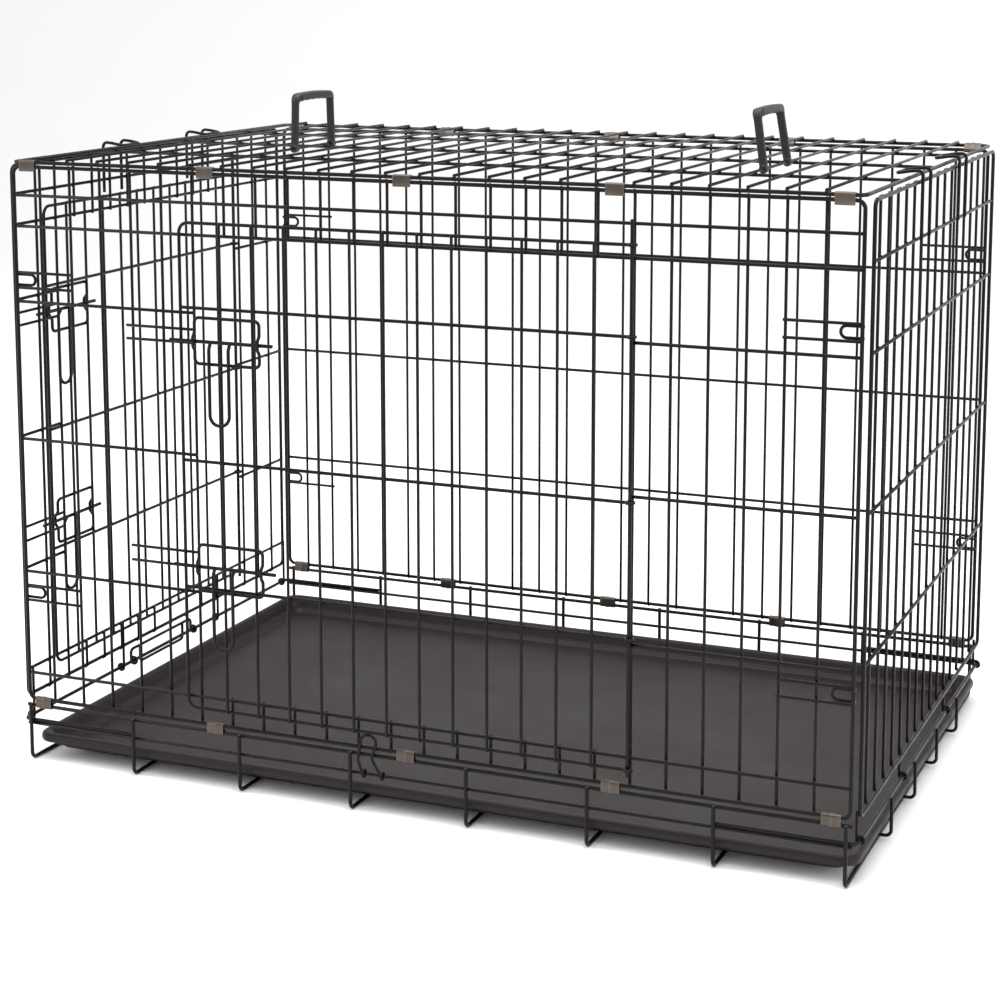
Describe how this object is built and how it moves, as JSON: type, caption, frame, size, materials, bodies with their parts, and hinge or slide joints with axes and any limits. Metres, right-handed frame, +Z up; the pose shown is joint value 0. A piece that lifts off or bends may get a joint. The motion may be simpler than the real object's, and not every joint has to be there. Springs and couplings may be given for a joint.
{
  "type": "wire dog crate",
  "caption": "Folding wire dog crate with a front door and an end door on slide bolts, a slide-out floor tray and flip-up carrying handles on the roof.",
  "frame": {"origin": "bottom left corner of the front, on the floor under the outer face of the floor hoops", "axes": "+X along the long front side from the door end, +Y from the front to the back, +Z up"},
  "size_m": [1.0943, 0.7245, 0.8327],
  "materials": {
    "black_wire": "smooth electro-coat, satin",
    "clip_steel": "thin coated sheet, satin",
    "tray_plastic": "satin with a slightly glossy rim",
    "handle_plastic": "satin moulded"
  },
  "bodies": {
    "base": {"base_floor_hoops": "black_wire", "base_floor_runners": "black_wire", "base_front_rails": "black_wire", "base_back_rails": "black_wire", "base_left_rail": "black_wire", "base_right_rail": "black_wire", "base_front_clips": "clip_steel", "base_back_clips": "clip_steel"},
    "tray": {"tray": "tray_plastic"},
    "tray_catch": {"tray_catch": "black_wire"},
    "front_bail": {"front_bail": "black_wire"},
    "front_panel": {"front_frame": "black_wire", "front_bars": "black_wire", "front_cross_wires": "black_wire", "front_keepers": "black_wire", "front_hinge_post": "black_wire", "front_corner_wires": "black_wire", "front_corner_catches": "black_wire"},
    "front_door": {"front_door_frame": "black_wire", "front_door_bars": "black_wire", "front_door_cross_wires": "black_wire", "front_latch_brackets": "black_wire"},
    "front_bolt_lower": {"front_bolt_lower": "black_wire"},
    "front_bolt_upper": {"front_bolt_upper": "black_wire"},
    "back_panel": {"back_frame": "black_wire", "back_bars": "black_wire", "back_cross_wires": "black_wire", "back_corner_wires": "black_wire", "back_corner_catches": "black_wire", "roof_back_clips": "clip_steel"},
    "roof": {"roof_frame": "black_wire", "roof_bars": "black_wire", "roof_cross_wires": "black_wire", "roof_hooks_left": "black_wire", "roof_hooks_right": "black_wire", "roof_front_clips": "clip_steel"},
    "left_handle": {"left_handle": "handle_plastic"},
    "right_handle": {"right_handle": "handle_plastic"},
    "left_end": {"left_end_frame": "black_wire", "left_end_bars": "black_wire", "left_end_cross_wires": "black_wire", "left_end_keepers": "black_wire", "left_end_hinge_post": "black_wire", "left_end_hinge_hooks": "black_wire"},
    "end_door": {"end_door_frame": "black_wire", "end_door_bars": "black_wire", "end_door_cross_wires": "black_wire", "end_latch_brackets": "black_wire"},
    "end_bolt_lower": {"end_bolt_lower": "black_wire"},
    "end_bolt_upper": {"end_bolt_upper": "black_wire"},
    "right_end": {"right_end_frame": "black_wire", "right_end_bars": "black_wire", "right_end_cross_wires": "black_wire", "right_end_hinge_hooks": "black_wire"}
  },
  "joints": [
    {"name": "tray_slide", "type": "slide", "parent": "base", "child": "tray", "axis": [-1, 0, 0], "range_m": [0, 0.95]},
    {"name": "tray_catch_swing", "type": "hinge", "parent": "base", "child": "tray_catch", "pos_m": [0.003, 0.341, 0.0513], "axis": [0, 1, 0], "range_deg": [-75, 0]},
    {"name": "front_bail_swing", "type": "hinge", "parent": "base", "child": "front_bail", "pos_m": [0.491, 0.006, 0.04695], "axis": [1, 0, 0], "range_deg": [0, 85]},
    {"name": "left_end_fold", "type": "hinge", "parent": "base", "child": "left_end", "pos_m": [0.003, 0.3555, 0.0513], "axis": [0, 1, 0], "range_deg": [0, 90]},
    {"name": "right_end_fold", "type": "hinge", "parent": "base", "child": "right_end", "pos_m": [1.072, 0.3555, 0.0513], "axis": [0, 1, 0], "range_deg": [-90, 0]},
    {"name": "front_fold", "type": "hinge", "parent": "base", "child": "front_panel", "pos_m": [0.5375, 0.006, 0.0793], "axis": [-1, 0, 0], "range_deg": [0, 90]},
    {"name": "back_fold", "type": "hinge", "parent": "base", "child": "back_panel", "pos_m": [0.5375, 0.7015, 0.0793], "axis": [-1, 0, 0], "range_deg": [-45, 0]},
    {"name": "roof_fold", "type": "hinge", "parent": "back_panel", "child": "roof", "pos_m": [0.5375, 0.7085, 0.7563], "axis": [-1, 0, 0], "range_deg": [0, 126]},
    {"name": "front_door_swing", "type": "hinge", "parent": "front_panel", "child": "front_door", "pos_m": [0.80982, 0.00195, 0.396], "axis": [0, 0, -1], "range_deg": [-110, 0]},
    {"name": "end_door_swing", "type": "hinge", "parent": "left_end", "child": "end_door", "pos_m": [-0.00105, 0.56572, 0.396], "axis": [0, 0, 1], "range_deg": [-110, 0]},
    {"name": "front_bolt_lower_slide", "type": "slide", "parent": "front_door", "child": "front_bolt_lower", "axis": [1, 0, 0], "range_m": [0, 0.03]},
    {"name": "front_bolt_upper_slide", "type": "slide", "parent": "front_door", "child": "front_bolt_upper", "axis": [1, 0, 0], "range_m": [0, 0.03]},
    {"name": "end_bolt_lower_slide", "type": "slide", "parent": "end_door", "child": "end_bolt_lower", "axis": [0, 1, 0], "range_m": [0, 0.028]},
    {"name": "end_bolt_upper_slide", "type": "slide", "parent": "end_door", "child": "end_bolt_upper", "axis": [0, 1, 0], "range_m": [0, 0.028]},
    {"name": "left_handle_swing", "type": "hinge", "parent": "roof", "child": "left_handle", "pos_m": [0.2581, 0.322, 0.76045], "axis": [0, 1, 0], "range_deg": [-75, 75]},
    {"name": "right_handle_swing", "type": "hinge", "parent": "roof", "child": "right_handle", "pos_m": [0.8947, 0.268, 0.76045], "axis": [0, 1, 0], "range_deg": [-66, 84]}
  ],
  "couplings": [
    {"joint": "roof_fold", "follows": "back_fold", "ratio": -2.8}
  ]
}
